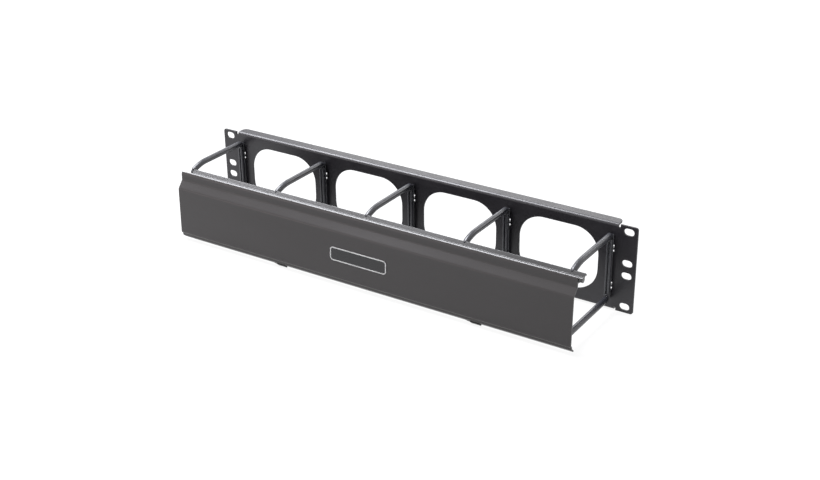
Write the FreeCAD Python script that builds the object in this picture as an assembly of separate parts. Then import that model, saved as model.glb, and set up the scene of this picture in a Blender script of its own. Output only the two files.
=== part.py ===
import FreeCAD, Part
import math
import os

# Horizontal cable manager, two rack units high.
# Millimetres. X runs along the rack, +Y goes into the rack, +Z is up.
# Origin: centre of the panel's rear face, the face that lies on the rack rails.
# Profiles are written as (reach, height): reach is measured forward from the panel's front face.

# --- rack standard sizes ---
rack_unit = 44.45
units_high = 2
panel_gap = 0.8                      # the panel is this much lower than its rack units
panel_width = 482.6
hole_spacing_x = 465.1               # between the left and the right ear holes
outer_hole_spacing_z = 76.2
inner_hole_spacing_z = 12.7
ear_slot_length = 10.2
ear_slot_width = 7.0

# --- panel ---
sheet = 1.6
panel_height = units_high * rack_unit - panel_gap
flange_depth = 12.0                  # from the panel's front face to the flange's back edge
flange_bend = 3.0                    # outer radius of the fold
flange_length = 443.8
flange_corner = 5.0
relief_width = 2.0                   # notch between the flange and the ear
relief_depth = 0.3                   # how far the notch runs past the fold
ear_corner = 2.5
window_width = 82.8
window_height = 64.6
window_corner = 25.0

# --- rings: round arms, open in front, on a T-shaped bar ---
ring_count = 5
ring_pitch = 108.12
rod = 6.0
rod_sides = 16                       # the rod's round section is drawn with this many flats
rod_end = 3.6                        # width across the small end of an arm at its root
upper_arm_z = 33.2
lower_arm_z = -32.2
shoulder_start = 60.0                # where the upper arm starts to bend down
shoulder_radius = 45.0
shoulder_end = 77.0                  # where the shoulder passes into the nose under the rail
nose_corner = 4.5
nose_z = 19.0                        # where the upper arm ends
finger_reach = 89.5                  # centre line of the finger that the lower arm turns up into
finger_corner = 6.0
finger_z = -14.0                     # where the finger ends
bar_width = 5.0
bar_back = 3.3                       # the bar's cross piece stands this far off the panel
bar_front = 5.9
bar_top = 29.8
bar_bottom = -28.8
bar_round = 0.7                      # takes the sharpness off the bar's long front edges
groove_width = 1.5
groove_depth = 1.9
groove_rim = 1.75                    # closes the groove at the bar's two ends
web_width = 2.9
web_flange = 3.8                     # width of the web's thin flange on the panel
web_flange_wall = 0.8
hole_width = 5.6
hole_height = 7.4
hole_z = 19.1                        # height of the two holes' middles, less hole_drop
hole_drop = 0.5
foot_drop = 0.3                      # the ring is pushed down in its holes by this
foot_height = 2.2
foot_play = 0.1                      # on each side of the foot in its hole
barb_step = 0.7                      # how far a barb laps over the edge of the hole
barb_length = 1.6
barb_tip = 1.8                       # half width at the barb's tip
foot_slit = 1.2

# --- hinge rail and cover hinge ---
hinge_reach = 84.4
hinge_z = 25.8
bead_radius = 2.5
hinge_play = 0.05
curl_wall = 1.1
curl_start = 188.0                   # degrees, 0 is forward and 90 is up
curl_end = 400.0                     # middle of the lip's rounded tip, on the curl's centre line
swing_gap = 0.35                     # between the cover's curl and the fixed pieces
rail_angle = 135.0                   # direction of the rail's plate from the bead
rail_plate = 1.4
rail_back = 6.5                      # from the bead's centre to the plate's back edge
rail_leg = 1.2
rail_leg_depth = 2.0
rail_length = 443.4
rail_shift = 7.3                     # the rail sits this far to the right of the panel's centre

# --- cover ---
cover_wall = 1.5
cover_length = 450.4
cover_line = [(87.4, 25.8), (87.4, 19.6), (93.85, 11.9), (95.0, -36.1),
              (93.3, -37.7), (92.9, -40.3), (89.7, -43.1)]
cover_bends = [3.0, 3.5, 1.2, 1.2, 1.2]

# --- pull tabs on the cover's lower lip ---
tab_width = 10.0
tab_tail = 5.0
tab_wall = 1.0
tab_grip = 3.2                       # how far the tab's jaws run up the lip
tab_centres = {"left": -97.3, "right": 126.5}

# --- name plate, left bare ---
plate_width = 64.6
plate_height = 14.0
plate_wall = 0.5
plate_rim = 0.8
plate_field_depth = 0.15
plate_corner = 3.5
plate_z = -11.0
plate_x = -1.0


def at(x, reach, z):
    """Point from the forward reach and the height."""
    return FreeCAD.Vector(x, -sheet - reach, z)


def box(x0, x1, reach0, reach1, z0, z1):
    return Part.makeBox(x1 - x0, reach1 - reach0, z1 - z0, at(x0, reach1, z0))


def polar(centre, radius, degrees):
    a = math.radians(degrees)
    return centre[0] + radius * math.cos(a), centre[1] + radius * math.sin(a)


def arc_edge(x, centre, radius, a0, a1):
    """Arc in the side plane, angles in degrees, through its middle."""
    ends = [at(x, *polar(centre, radius, a)) for a in (a0, (a0 + a1) / 2, a1)]
    return Part.Arc(*ends).toShape()


def line_edge(x, p, q):
    return Part.makeLine(at(x, *p), at(x, *q))


def bent_line(x, points, bends, offset):
    """Edges of a line with round bends, set off to its left by offset. Also returns its two ends."""
    edges = []
    n = len(points)
    units = []
    for (r0, z0), (r1, z1) in zip(points, points[1:]):
        d = math.hypot(r1 - r0, z1 - z0)
        units.append(((r1 - r0) / d, (z1 - z0) / d))

    def aside(p, u):
        return p[0] - offset * u[1], p[1] + offset * u[0]

    start = here = aside(points[0], units[0])
    for i in range(1, n - 1):
        u, v = units[i - 1], units[i]
        turn = math.atan2(u[0] * v[1] - u[1] * v[0], u[0] * v[0] + u[1] * v[1])
        radius = bends[i - 1]
        cut = radius * math.tan(abs(turn) / 2)
        side = math.copysign(1.0, turn)
        before = (points[i][0] - cut * u[0], points[i][1] - cut * u[1])
        centre = (before[0] - side * radius * u[1], before[1] + side * radius * u[0])
        a0 = math.degrees(math.atan2(before[1] - centre[1], before[0] - centre[0]))
        a1 = a0 + math.degrees(turn)
        r = radius - side * offset
        edges.append(line_edge(x, here, aside(before, u)))
        edges.append(arc_edge(x, centre, r, a0, a1))
        after = (points[i][0] + cut * v[0], points[i][1] + cut * v[1])
        here = aside(after, v)
    end = aside(points[-1], units[-1])
    edges.append(line_edge(x, here, end))
    return edges, start, end


def bent_sheet(points, bends, wall, x0, length, round_ends=False):
    """Folded strip of even thickness, extruded along X."""
    left, l0, l1 = bent_line(x0, points, bends, wall / 2)
    right, r0, r1 = bent_line(x0, points, bends, -wall / 2)
    ends = []
    for a, b, p, q in ((l0, r0, points[0], points[1]), (l1, r1, points[-1], points[-2])):
        if round_ends:
            d = math.hypot(p[0] - q[0], p[1] - q[1])
            tip = (p[0] + (p[0] - q[0]) / d * wall / 2, p[1] + (p[1] - q[1]) / d * wall / 2)
            ends.append(Part.Arc(at(x0, *a), at(x0, *tip), at(x0, *b)).toShape())
        else:
            ends.append(line_edge(x0, a, b))
    wire = Part.Wire(Part.__sortEdges__(left + right + ends))
    return Part.Face(wire).extrude(FreeCAD.Vector(length, 0, 0))


def extruded(points, x0, length):
    """Straight-sided profile extruded along X."""
    return Part.Face(Part.makePolygon([at(x0, *p) for p in points + points[:1]])).extrude(
        FreeCAD.Vector(length, 0, 0))


def rounded_block(x, z, width, height, corner, reach0, reach1):
    """Block facing the front, with rounded corners seen from the front."""
    block = box(x - width / 2, x + width / 2, reach0, reach1, z - height / 2, z + height / 2)
    edges = [e for e in block.Edges if abs(e.tangentAt(e.FirstParameter).y) > 0.99]
    return block.makeFillet(corner, edges)


def back_panel():
    half_w, half_h = panel_width / 2, panel_height / 2
    fold = half_h - flange_bend
    plate = rounded_block(0, 0, panel_width, panel_height, ear_corner, -sheet, 0)
    notch_out = flange_length / 2 + relief_width
    for side in (-1, 1):
        low, high = sorted((side * (fold - relief_depth), side * (half_h + sheet)))
        plate = plate.cut(box(-notch_out, notch_out, -2 * sheet, sheet, low, high))
    mid = half_h - sheet / 2
    folded = bent_sheet([(-flange_depth, mid), (-sheet / 2, mid), (-sheet / 2, -mid), (-flange_depth, -mid)],
                        [flange_bend - sheet / 2] * 2, sheet, -flange_length / 2, flange_length)
    corners = [e for e in folded.Edges
               if abs(e.tangentAt(e.FirstParameter).z) > 0.99 and e.Length < 2 * sheet
               and e.CenterOfMass.y > flange_depth - 2 * sheet]
    panel = plate.fuse(folded.makeFillet(flange_corner, corners)).removeSplitter()
    for i in range(ring_count - 1):
        x = (i + 0.5 - (ring_count - 1) / 2) * ring_pitch
        panel = panel.cut(rounded_block(x, 0, window_width, window_height, window_corner, -2 * sheet, sheet))
    for i in range(ring_count):
        for z in hole_heights():
            x = ring_x(i)
            panel = panel.cut(box(x - hole_width / 2, x + hole_width / 2, -2 * sheet, sheet,
                                  z - hole_height / 2, z + hole_height / 2))
    for x in (-hole_spacing_x / 2, hole_spacing_x / 2):
        for spacing in (outer_hole_spacing_z, inner_hole_spacing_z):
            for z in (-spacing / 2, spacing / 2):
                panel = panel.cut(rounded_block(x, z, ear_slot_length, ear_slot_width,
                                                ear_slot_width / 2 - 0.001, -2 * sheet, sheet))
    return panel


def ring_x(i):
    return (i - (ring_count - 1) / 2) * ring_pitch


def hole_heights():
    """Middles of a ring's lower and upper hole in the panel."""
    return -hole_z - hole_drop, hole_z - hole_drop


def upper_path(x):
    """Centre line of the upper arm: straight, down over the shoulder, and the short nose."""
    dip = math.asin((shoulder_end - shoulder_start) / shoulder_radius)
    turned = 90 - math.degrees(dip)
    big = (shoulder_start, upper_arm_z - shoulder_radius)
    join = polar(big, shoulder_radius, turned)
    small = (join[0] - nose_corner * math.sin(dip), join[1] - nose_corner * math.cos(dip))
    nose = small[0] + nose_corner
    return Part.Wire([
        line_edge(x, (bar_front, upper_arm_z), (shoulder_start, upper_arm_z)),
        arc_edge(x, big, shoulder_radius, 90, turned),
        arc_edge(x, small, nose_corner, turned, 0),
        line_edge(x, (nose, small[1]), (nose, nose_z))])


def lower_path(x):
    """Centre line of the lower arm: straight, then up into the finger."""
    low = (finger_reach - finger_corner, lower_arm_z + finger_corner)
    return Part.Wire([
        line_edge(x, (bar_front, lower_arm_z), (low[0], lower_arm_z)),
        arc_edge(x, low, finger_corner, -90, 0),
        line_edge(x, (finger_reach, low[1]), (finger_reach, finger_z))])


def rod_section(x, reach, z, across):
    step = 360.0 / rod_sides
    corners = [polar((0, z), across / 2, (i + 0.5) * step) for i in range(rod_sides)]
    points = [at(x + side, reach, high) for side, high in corners]
    return Part.Wire(Part.makePolygon(points + points[:1]))


def arm(x, path, z):
    """Round arm along its path, drawn in towards its root in the bar."""
    start = rod_section(x, bar_front, z, rod)
    root = Part.makeLoft([rod_section(x, bar_back, z, rod_end), start], True)
    return path.makePipeShell([start], True, True).fuse(root)


def snap_foot(x, z):
    """Split foot that passes through the panel and laps over the hole's edges behind it."""
    half = hole_width / 2 - foot_play
    wide = hole_width / 2 + barb_step
    back = -sheet - foot_play
    side = [(x - half, 0), (x - half, back), (x - wide, back), (x - barb_tip, back - barb_length),
            (x + barb_tip, back - barb_length), (x + wide, back), (x + half, back), (x + half, 0)]
    low = z - foot_height / 2
    foot = Part.Face(Part.makePolygon([at(p, r, low) for p, r in side + side[:1]])).extrude(
        FreeCAD.Vector(0, 0, foot_height))
    return foot.cut(box(x - foot_slit / 2, x + foot_slit / 2, 2 * back - barb_length, -sheet / 2,
                        low - 1, low + foot_height + 1))


def base_bar(x):
    """T-shaped bar: a web on the panel and a grooved cross piece that stands off it."""
    half = bar_width / 2
    cross = box(x - half, x + half, bar_back, bar_front, bar_bottom, bar_top)
    long_edges = [e for e in cross.Edges if abs(e.Length - (bar_top - bar_bottom)) < 0.001
                  and abs(e.CenterOfMass.y - at(x, bar_front, 0).y) < 0.001]
    cross = cross.makeFillet(bar_round, long_edges)
    groove = box(x - groove_width / 2, x + groove_width / 2, bar_front - groove_depth, bar_front + 1,
                 bar_bottom + groove_rim, bar_top - groove_rim)
    web = box(x - web_width / 2, x + web_width / 2, 0, bar_back, lower_arm_z, upper_arm_z)
    flange = box(x - web_flange / 2, x + web_flange / 2, 0, web_flange_wall, lower_arm_z, upper_arm_z)
    return cross.cut(groove).fuse([web, flange])


def ring(i):
    x = ring_x(i)
    feet = [snap_foot(x, z - foot_drop) for z in hole_heights()]
    body = base_bar(x).fuse([arm(x, upper_path(x), upper_arm_z), arm(x, lower_path(x), lower_arm_z)] + feet)
    # seat and slot for the rail, then room for the cover's curl
    body = body.cut(rail_section(x - rod, 2 * rod))
    body = body.cut(cylinder_x(x - rod, 2 * rod, curl_room()))
    return body.removeSplitter()


def curl_room():
    """Radius about the hinge axis that the fixed pieces leave free for the curl."""
    return bead_radius + hinge_play + curl_wall + swing_gap


def cylinder_x(x0, length, radius):
    """Cylinder about the hinge axis."""
    return Part.makeCylinder(radius, length, at(x0, hinge_reach, hinge_z), FreeCAD.Vector(1, 0, 0))


def rail_point(back, up):
    """Point in the rail's own directions: back along the plate from the bead, up off the plate."""
    a = math.radians(rail_angle)
    return (hinge_reach + back * math.cos(a) + up * math.sin(a),
            hinge_z + back * math.sin(a) - up * math.cos(a))


def rail_section(x0, length):
    """Plate with a bead in front and a leg underneath."""
    half = rail_plate / 2
    leg_low = -half - rail_leg_depth
    plate = extruded([rail_point(*p) for p in (
        (0, half), (rail_back, half), (rail_back, leg_low), (rail_back - rail_leg, leg_low),
        (rail_back - rail_leg, -half), (0, -half))], x0, length)
    return plate.fuse(cylinder_x(x0, length, bead_radius)).removeSplitter()


def hinge_rail():
    return rail_section(rail_shift - rail_length / 2, rail_length)


def front_cover():
    x0 = -cover_length / 2
    skin = bent_sheet(cover_line, cover_bends, cover_wall, x0, cover_length, round_ends=True)
    inner = bead_radius + hinge_play
    outer = inner + curl_wall
    centre = (hinge_reach, hinge_z)
    wire = Part.Wire([
        arc_edge(x0, centre, inner, curl_start, curl_end),
        line_edge(x0, polar(centre, inner, curl_end), polar(centre, outer, curl_end)),
        arc_edge(x0, centre, outer, curl_end, curl_start),
        line_edge(x0, polar(centre, outer, curl_start), polar(centre, inner, curl_start))])
    curl = Part.Face(wire).extrude(FreeCAD.Vector(cover_length, 0, 0))
    tip = Part.makeCylinder(curl_wall / 2, cover_length, at(x0, *polar(centre, inner + curl_wall / 2, curl_end)),
                            FreeCAD.Vector(1, 0, 0))
    return skin.fuse([curl, tip]).cut(cylinder_x(x0, cover_length, inner)).removeSplitter()


def pull_tab(centre):
    """Small clip pressed over the lip's edge, with a lower tail on its left side."""
    tip, root = cover_line[-1], cover_line[-2]
    d = math.hypot(tip[0] - root[0], tip[1] - root[1])
    u = ((root[0] - tip[0]) / d, (root[1] - tip[1]) / d)     # up along the lip
    n = (u[1], -u[0])                                        # out of the lip's front and lower side
    half = cover_wall / 2 + tab_wall

    def spot(along, out):
        return tip[0] + along * u[0] + out * n[0], tip[1] + along * u[1] + out * n[1]

    low = -cover_wall / 2 - tab_wall
    block = extruded([spot(low, -half), spot(low, half), spot(tab_grip, half), spot(tab_grip, -half)],
                     centre - tab_width / 2, tab_width)
    tail = extruded([spot(low, -half), spot(low, half / 2), spot(tab_grip / 2, half / 2),
                     spot(tab_grip / 2, -half)], centre - tab_width / 2 - tab_tail, tab_tail)
    skin = bent_sheet(cover_line, cover_bends, cover_wall, -cover_length / 2, cover_length, round_ends=True)
    return block.fuse(tail).cut(skin).removeSplitter()


def name_plate():
    """Thin bare plate on the cover's face, leaning with it."""
    (r0, z0), (r1, z1) = cover_line[2], cover_line[3]
    lean = math.degrees(math.atan2(r1 - r0, z0 - z1))
    share = (z0 - plate_z) / (z0 - z1)
    reach = r0 + share * (r1 - r0) + cover_wall / 2 / math.cos(math.radians(lean))
    plate = rounded_block(plate_x, plate_z, plate_width, plate_height, plate_corner, reach, reach + plate_wall)
    field = rounded_block(plate_x, plate_z, plate_width - 2 * plate_rim, plate_height - 2 * plate_rim,
                          plate_corner - plate_rim, reach + plate_wall - plate_field_depth,
                          reach + plate_wall + 1)
    plate = plate.cut(field)
    plate.rotate(at(plate_x, reach, plate_z), FreeCAD.Vector(1, 0, 0), -lean)
    return plate


def main():
    os.makedirs("parts", exist_ok=True)
    pieces = {"back_panel": back_panel(), "hinge_rail": hinge_rail(), "front_cover": front_cover(),
              "name_plate": name_plate()}
    for i in range(ring_count):
        pieces["ring_%d" % (i + 1)] = ring(i)
    for side, centre in tab_centres.items():
        pieces["pull_tab_" + side] = pull_tab(centre)
    for name, shape in pieces.items():
        shape.exportStep("parts/%s.step" % name)
        print(name, "solids", len(shape.Solids), "valid", shape.isValid(), "volume", round(shape.Volume, 1))


main()
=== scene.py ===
import math

import bpy
from mathutils import Matrix, Vector


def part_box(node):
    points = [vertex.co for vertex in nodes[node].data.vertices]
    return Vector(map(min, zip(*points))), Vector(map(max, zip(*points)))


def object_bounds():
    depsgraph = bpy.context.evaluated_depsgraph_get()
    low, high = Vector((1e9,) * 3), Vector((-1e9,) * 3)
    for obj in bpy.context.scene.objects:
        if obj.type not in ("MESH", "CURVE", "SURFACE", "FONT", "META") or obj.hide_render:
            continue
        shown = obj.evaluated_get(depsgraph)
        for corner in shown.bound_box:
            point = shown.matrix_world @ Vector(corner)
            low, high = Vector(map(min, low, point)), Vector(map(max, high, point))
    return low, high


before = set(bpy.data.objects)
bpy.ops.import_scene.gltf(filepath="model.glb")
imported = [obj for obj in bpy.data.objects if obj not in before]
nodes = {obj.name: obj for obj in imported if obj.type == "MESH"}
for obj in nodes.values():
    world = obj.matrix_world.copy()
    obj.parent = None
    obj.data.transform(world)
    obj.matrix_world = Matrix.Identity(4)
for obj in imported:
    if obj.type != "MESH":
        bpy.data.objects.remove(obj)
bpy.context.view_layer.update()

# --- camera at the photograph's angle: degrees, metres, and millimetres of lens and sensor ---
AZIMUTH, ELEVATION, ROLL = 33.10, 25.68, -0.57
AIM = Vector((-0.00361, -0.0016, -0.02909))
DISTANCE = 1.33494
LENS, SENSOR = 57.89, 36.0

# --- floor, surroundings and lamps ---
SHOWN_RAYS = ("Is Camera Ray", "Is Glossy Ray", "Is Transmission Ray")   # these meet a white background
SHOWN_WORLD = 1.0                     # the surroundings for those rays
SHOWN_TONE, SHOWN_GLOW = 0.15, 0.92   # the floor for those rays: white, with a faint shadow
WORLD_LIGHT = 0.04                    # what the surroundings give to lit surfaces
FLOOR_TONE = 0.80                     # the floor that throws light back on the object
FLOOR_HALF = 6.0                      # metres from its middle to a side
LAMP_AIM = Vector((0.0, -0.045, 0.0))

# --- finishes: noise scales in features per metre, heights and widths in metres ---
CLOUD_SCALE, SMUDGE_SCALE, WEAR_AND_GLINT_SCALE, INK_SCALE = 14.0, 34.0, 160.0, 420.0
NOISE_ROUGHNESS = 0.55
EVEN = (1, 1, 1)
ALONG = (0.25, 1, 1)                  # clouds and smudges drawn out along X, as on an extrusion
DRAWN = (0.012, 1, 1)                 # die lines along X
SMOOTHER, ROUGHER = 0.045, 0.06       # how far smudges change the roughness each way
FLECKS_DARK, FLECKS_LIGHT = 0.86, 1.14
FLECK_AMOUNT = 0.6
WEAR_AND_GLINT_AMOUNT = 0.55                    # most of the edge's colour that shows
EDGE_REACH = 1.6                      # width of a lighter edge (wear, and a painted glint on the rings), in times its rounding
EDGE_GAIN = 6.0                       # how fast a lighter edge (wear, and a painted glint on the rings) sets in as the surface turns
BEVEL_SAMPLES = 6
PLATE_CORNER, PLATE_RIM = 0.0035, 0.00105
RIM_SHARPNESS = 12000.0               # per metre: the rim fades in over a twelfth of a millimetre
INK_GREY, INK_WHITE = (0.62, 0.62, 0.60), (0.80, 0.80, 0.78)

# Blender's socket numbers for the colours of a Mix node
MIX_AMOUNT, MIX_FIRST, MIX_SECOND, MIX_RESULT = 0, 6, 7, 2


# ---------------------------------------------------------------- node trees
class Tree:
    """The nodes of a material or a world. A source is a pair of a node and one of its outputs."""

    def __init__(self, owner):
        owner.use_nodes = True
        self.tree = owner.node_tree
        self.tree.nodes.clear()

    def node(self, kind, **inputs):
        """New node with some input values; an input's name has _ for a space."""
        made = self.tree.nodes.new(kind)
        for key, value in inputs.items():
            made.inputs[key.replace("_", " ")].default_value = value
        return made

    def link(self, source, node, into):
        self.tree.links.new(source[0].outputs[source[1]], node.inputs[into])

    def calc(self, operation, *values, clamp=False):
        """Math node on sources or numbers."""
        made = self.node("ShaderNodeMath")
        made.operation = operation
        made.use_clamp = clamp
        for slot, value in enumerate(values):
            if isinstance(value, tuple):
                self.link(value, made, slot)
            else:
                made.inputs[slot].default_value = value
        return made, "Value"

    def any_ray(self, kinds):
        """1 for a ray of any of the kinds, otherwise 0."""
        path = self.node("ShaderNodeLightPath")
        found = (path, kinds[0])
        for kind in kinds[1:]:
            found = self.calc("MAXIMUM", found, (path, kind))
        return found


class Finish(Tree):
    """A material with one Principled shader."""

    def __init__(self, name):
        self.mat = bpy.data.materials.new(name)
        super().__init__(self.mat)
        self.shader = self.node("ShaderNodeBsdfPrincipled")
        self.link((self.shader, "BSDF"), self.node("ShaderNodeOutputMaterial"), "Surface")
        self.coords = (self.node("ShaderNodeTexCoord"), "Object")

    def noise(self, scale, stretch=EVEN, detail=4.0):
        """Noise in the object's own frame, which is the CAD frame."""
        mapping = self.node("ShaderNodeMapping", Scale=stretch)
        self.link(self.coords, mapping, "Vector")
        made = self.node("ShaderNodeTexNoise", Scale=scale, Detail=detail, Roughness=NOISE_ROUGHNESS)
        self.link((mapping, "Vector"), made, "Vector")
        return made, "Fac"

    def ramp(self, source, start, end):
        """Ramp from start to end, each a position with a colour or a grey."""
        made = self.node("ShaderNodeValToRGB")
        self.link(source, made, "Fac")
        for element, (position, tone) in zip(made.color_ramp.elements, (start, end)):
            element.position = position
            element.color = (*tone, 1) if isinstance(tone, tuple) else (tone, tone, tone, 1)
        return made, "Color"

    def mix(self, amount, first, second, blend="MIX"):
        """Colour mix of sources or colours, by a source or a number."""
        made = self.node("ShaderNodeMix")
        made.data_type = "RGBA"
        made.blend_type = blend
        for slot, value in ((MIX_AMOUNT, amount), (MIX_FIRST, first), (MIX_SECOND, second)):
            if not isinstance(value, tuple):
                made.inputs[slot].default_value = value
            elif isinstance(value[0], bpy.types.Node):
                self.link(value, made, slot)
            else:
                made.inputs[slot].default_value = (*value, 1)
        return made, MIX_RESULT

    def rounded_normal(self, radius):
        bevel = self.node("ShaderNodeBevel", Radius=radius)
        bevel.samples = BEVEL_SAMPLES
        return bevel, "Normal"

    def edge_mask(self, width):
        """1 on edges and 0 on flats, from how far a rounded normal turns off the true one."""
        dot = self.node("ShaderNodeVectorMath")
        dot.operation = "DOT_PRODUCT"
        self.link(self.rounded_normal(width), dot, 0)
        self.link((self.node("ShaderNodeNewGeometry"), "Normal"), dot, 1)
        turned = self.calc("SUBTRACT", 1.0, (dot, "Value"))
        return self.calc("MULTIPLY", turned, EDGE_GAIN, clamp=True)

    def bump(self, layers, rounding):
        """Rounded edges under layers of bump, each a source and its height."""
        normal = self.rounded_normal(rounding)
        for source, height in layers:
            made = self.node("ShaderNodeBump", Strength=1.0, Distance=height)
            self.link(source, made, "Height")
            self.link(normal, made, "Normal")
            normal = (made, "Normal")
        self.link(normal, self.shader, "Normal")


# ---------------------------------------------------------------- finishes
def coated(name, dark, light, edge, rough, grain, stretch=EVEN, die_lines=None, specular=0.5,
           rounding=0.0004):
    """Dark satin finish: cloudy colour, lighter edges (worn, and on the moulded rings a painted glint),
    uneven gloss and fine grain.

    grain and die_lines are each a noise scale and a height.
    """
    finish = Finish(name)
    clouds = finish.ramp(finish.noise(CLOUD_SCALE, stretch), (0.30, dark), (0.72, light))
    # lighter edges: wear, and on the moulded rings a painted glint in place of gloss on their rounded
    # edges
    spots = finish.ramp(finish.noise(WEAR_AND_GLINT_SCALE, detail=6.0), (0.45, 0.0), (0.70, 1.0))
    wear_and_glint = finish.calc("MULTIPLY", finish.edge_mask(rounding * EDGE_REACH), spots, clamp=True)
    wear_and_glint_colour = finish.mix(finish.calc("MULTIPLY", wear_and_glint, WEAR_AND_GLINT_AMOUNT), clouds, edge)
    fine = finish.noise(grain[0], detail=2.0)
    flecks = finish.ramp(fine, (0.25, FLECKS_DARK), (0.75, FLECKS_LIGHT))
    finish.colour = finish.mix(FLECK_AMOUNT, wear_and_glint_colour, flecks, "MULTIPLY")
    finish.link(finish.colour, finish.shader, "Base Color")

    smudges = finish.noise(SMUDGE_SCALE, stretch, detail=5.0)
    gloss = finish.ramp(smudges, (0.30, rough - SMOOTHER), (0.72, rough + ROUGHER))
    finish.link(gloss, finish.shader, "Roughness")
    finish.shader.inputs["Specular IOR Level"].default_value = specular

    layers = [(fine, grain[1])]
    if die_lines:
        layers.append((finish.noise(die_lines[0], DRAWN, detail=3.0), die_lines[1]))
    finish.bump(layers, rounding)
    return finish


def plate_finish():
    """Black field inside a pale printed rim that follows the plate's rounded outline."""
    finish = coated("name_plate_black", (0.012, 0.012, 0.013), (0.017, 0.017, 0.018), (0.05, 0.05, 0.05),
                    rough=0.24, grain=(2200.0, 0.000006), rounding=0.0002)
    low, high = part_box("name_plate")
    place = finish.node("ShaderNodeSeparateXYZ")
    finish.link(finish.coords, place, "Vector")

    def past_corner_centre(axis):
        """How far a point lies past the centre of the outline's corner, along X or Z."""
        i = "XYZ".index(axis)
        middle, half = (low[i] + high[i]) / 2, (high[i] - low[i]) / 2
        off = finish.calc("ABSOLUTE", finish.calc("SUBTRACT", (place, axis), middle))
        return finish.calc("MAXIMUM", finish.calc("SUBTRACT", off, half - PLATE_CORNER), 0.0)

    squares = [finish.calc("POWER", past_corner_centre(axis), 2.0) for axis in "XZ"]
    distance = finish.calc("SQRT", finish.calc("ADD", *squares))
    past_field = finish.calc("SUBTRACT", distance, PLATE_CORNER - PLATE_RIM)
    on_rim = finish.calc("MULTIPLY", past_field, RIM_SHARPNESS, clamp=True)
    ink = finish.ramp(finish.noise(INK_SCALE, detail=5.0), (0.25, INK_GREY), (0.75, INK_WHITE))
    finish.link(finish.mix(on_rim, finish.colour, ink), finish.shader, "Base Color")
    return finish


powder = coated("black_powder_coat", (0.021, 0.020, 0.024), (0.029, 0.027, 0.032), (0.075, 0.073, 0.07),
                rough=0.33, grain=(1900.0, 0.000030), rounding=0.0009)
# the rings' light edge colour is a painted glint: it stands in for gloss on their rounded edges
moulded = coated("black_moulded_plastic", (0.030, 0.031, 0.037), (0.041, 0.042, 0.050), (0.15, 0.15, 0.17),
                 rough=0.31, grain=(2600.0, 0.000010), specular=0.75, rounding=0.0008)
extruded = coated("dark_extruded_plastic", (0.031, 0.027, 0.027), (0.038, 0.034, 0.034),
                  (0.085, 0.08, 0.075), rough=0.33, grain=(2400.0, 0.000008), stretch=ALONG,
                  die_lines=(900.0, 0.000005))
rail = coated("rail_extruded_plastic", (0.032, 0.032, 0.033), (0.042, 0.041, 0.041), (0.10, 0.10, 0.10),
              rough=0.25, grain=(2400.0, 0.000008), stretch=ALONG, die_lines=(900.0, 0.000005),
              specular=0.62)
dull = coated("matte_black_plastic", (0.012, 0.012, 0.012), (0.018, 0.018, 0.018), (0.04, 0.04, 0.04),
              rough=0.55, grain=(1800.0, 0.000020), rounding=0.0003)

finishes = {"back_panel": powder, "hinge_rail": rail, "front_cover": extruded,
            "name_plate": plate_finish(), "pull_tab_left": dull, "pull_tab_right": dull}
for name, obj in nodes.items():
    finish = finishes.get(name, moulded)      # the five rings are moulded
    obj.data.materials.clear()
    obj.data.materials.append(finish.mat)


# ---------------------------------------------------------------- floor, light and camera
def add_to_scene(name, data):
    obj = bpy.data.objects.new(name, data)
    bpy.context.scene.collection.objects.link(obj)
    return obj


def matte_with_glow(tree, tone, glow):
    """Matte shader of a grey tone, with some light of its own."""
    both = tree.node("ShaderNodeAddShader")
    tree.link((tree.node("ShaderNodeBsdfDiffuse", Color=(tone, tone, tone, 1)), "BSDF"), both, 0)
    tree.link((tree.node("ShaderNodeEmission", Strength=glow), "Emission"), both, 1)
    return both, "Shader"


def add_floor():
    """Pale square floor at the object's lowest point."""
    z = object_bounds()[0][2]
    s = FLOOR_HALF
    mesh = bpy.data.meshes.new("floor")
    mesh.from_pydata([(-s, -s, z), (s, -s, z), (s, s, z), (-s, s, z)], [], [(0, 1, 2, 3)])
    floor = add_to_scene("floor", mesh)

    mat = bpy.data.materials.new("pale_floor")
    tree = Tree(mat)
    mix = tree.node("ShaderNodeMixShader")
    tree.link(tree.any_ray(SHOWN_RAYS), mix, 0)
    tree.link(matte_with_glow(tree, FLOOR_TONE, 0.0), mix, 1)
    tree.link(matte_with_glow(tree, SHOWN_TONE, SHOWN_GLOW), mix, 2)
    tree.link((mix, "Shader"), tree.node("ShaderNodeOutputMaterial"), "Surface")
    mesh.materials.append(mat)


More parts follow.
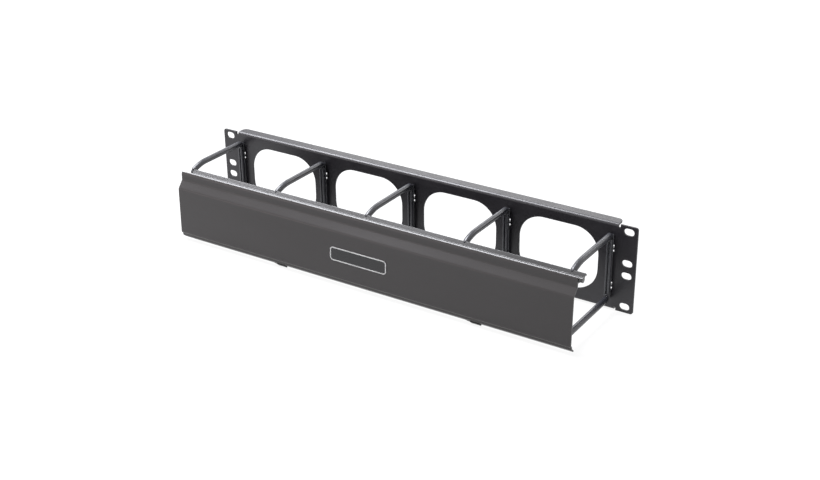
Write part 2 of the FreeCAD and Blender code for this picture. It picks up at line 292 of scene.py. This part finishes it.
def add_world():
    """Surroundings that are white to the shown rays and dim to all others."""
    world = bpy.data.worlds.new("studio")
    bpy.context.scene.world = world
    tree = Tree(world)
    background = tree.node("ShaderNodeBackground", Color=(1, 1, 1, 1))
    strength = tree.node("ShaderNodeMapRange", To_Min=WORLD_LIGHT, To_Max=SHOWN_WORLD)
    tree.link(tree.any_ray(SHOWN_RAYS), strength, "Value")
    tree.link((strength, "Result"), background, "Strength")
    tree.link((background, "Background"), tree.node("ShaderNodeOutputWorld"), "Surface")


def softbox(name, place, size, watts, colour):
    """Rectangular lamp turned towards the object."""
    light = bpy.data.lights.new(name, "AREA")
    light.shape = "RECTANGLE"
    light.size, light.size_y = size
    light.energy = watts
    light.color = colour
    lamp = add_to_scene(name, light)
    lamp.location = place
    lamp.rotation_euler = (LAMP_AIM - Vector(place)).to_track_quat("-Z", "Y").to_euler()


def add_camera():
    """Camera at DISTANCE from AIM, turned by azimuth, elevation and roll."""
    azimuth, elevation, roll = (math.radians(v) for v in (AZIMUTH, ELEVATION, ROLL))
    back = Vector((math.sin(azimuth) * math.cos(elevation), -math.cos(azimuth) * math.cos(elevation),
                   math.sin(elevation)))
    level = Vector((math.cos(azimuth), math.sin(azimuth), 0))
    upright = back.cross(level)
    right = math.cos(roll) * level + math.sin(roll) * upright
    up = math.cos(roll) * upright - math.sin(roll) * level
    data = bpy.data.cameras.new("camera")
    data.lens = LENS
    data.sensor_width = SENSOR
    camera = add_to_scene("camera", data)
    turn = Matrix((right, up, back)).transposed().to_4x4()
    camera.matrix_world = Matrix.Translation(AIM + DISTANCE * back) @ turn
    bpy.context.scene.camera = camera


add_floor()
add_world()
softbox("back_right_box", (0.75, 1.5, 1.05), (0.8, 0.5), 3.4, (1.0, 0.99, 0.99))
softbox("back_left_box", (-0.75, 1.45, 0.95), (0.9, 0.5), 3.9, (0.99, 0.99, 1.0))
softbox("left_high_box", (-1.1, 0.35, 1.85), (0.8, 1.3), 44.0, (0.96, 0.98, 1.04))
softbox("overhead_box", (-1.2, -0.35, 1.9), (0.9, 1.3), 59.0, (0.98, 0.98, 1.03))
softbox("low_front_box", (-0.9, -1.35, 0.2), (0.6, 0.4), 1.6, (1.10, 0.97, 0.97))
add_camera()
bpy.context.scene.view_settings.view_transform = "Standard"
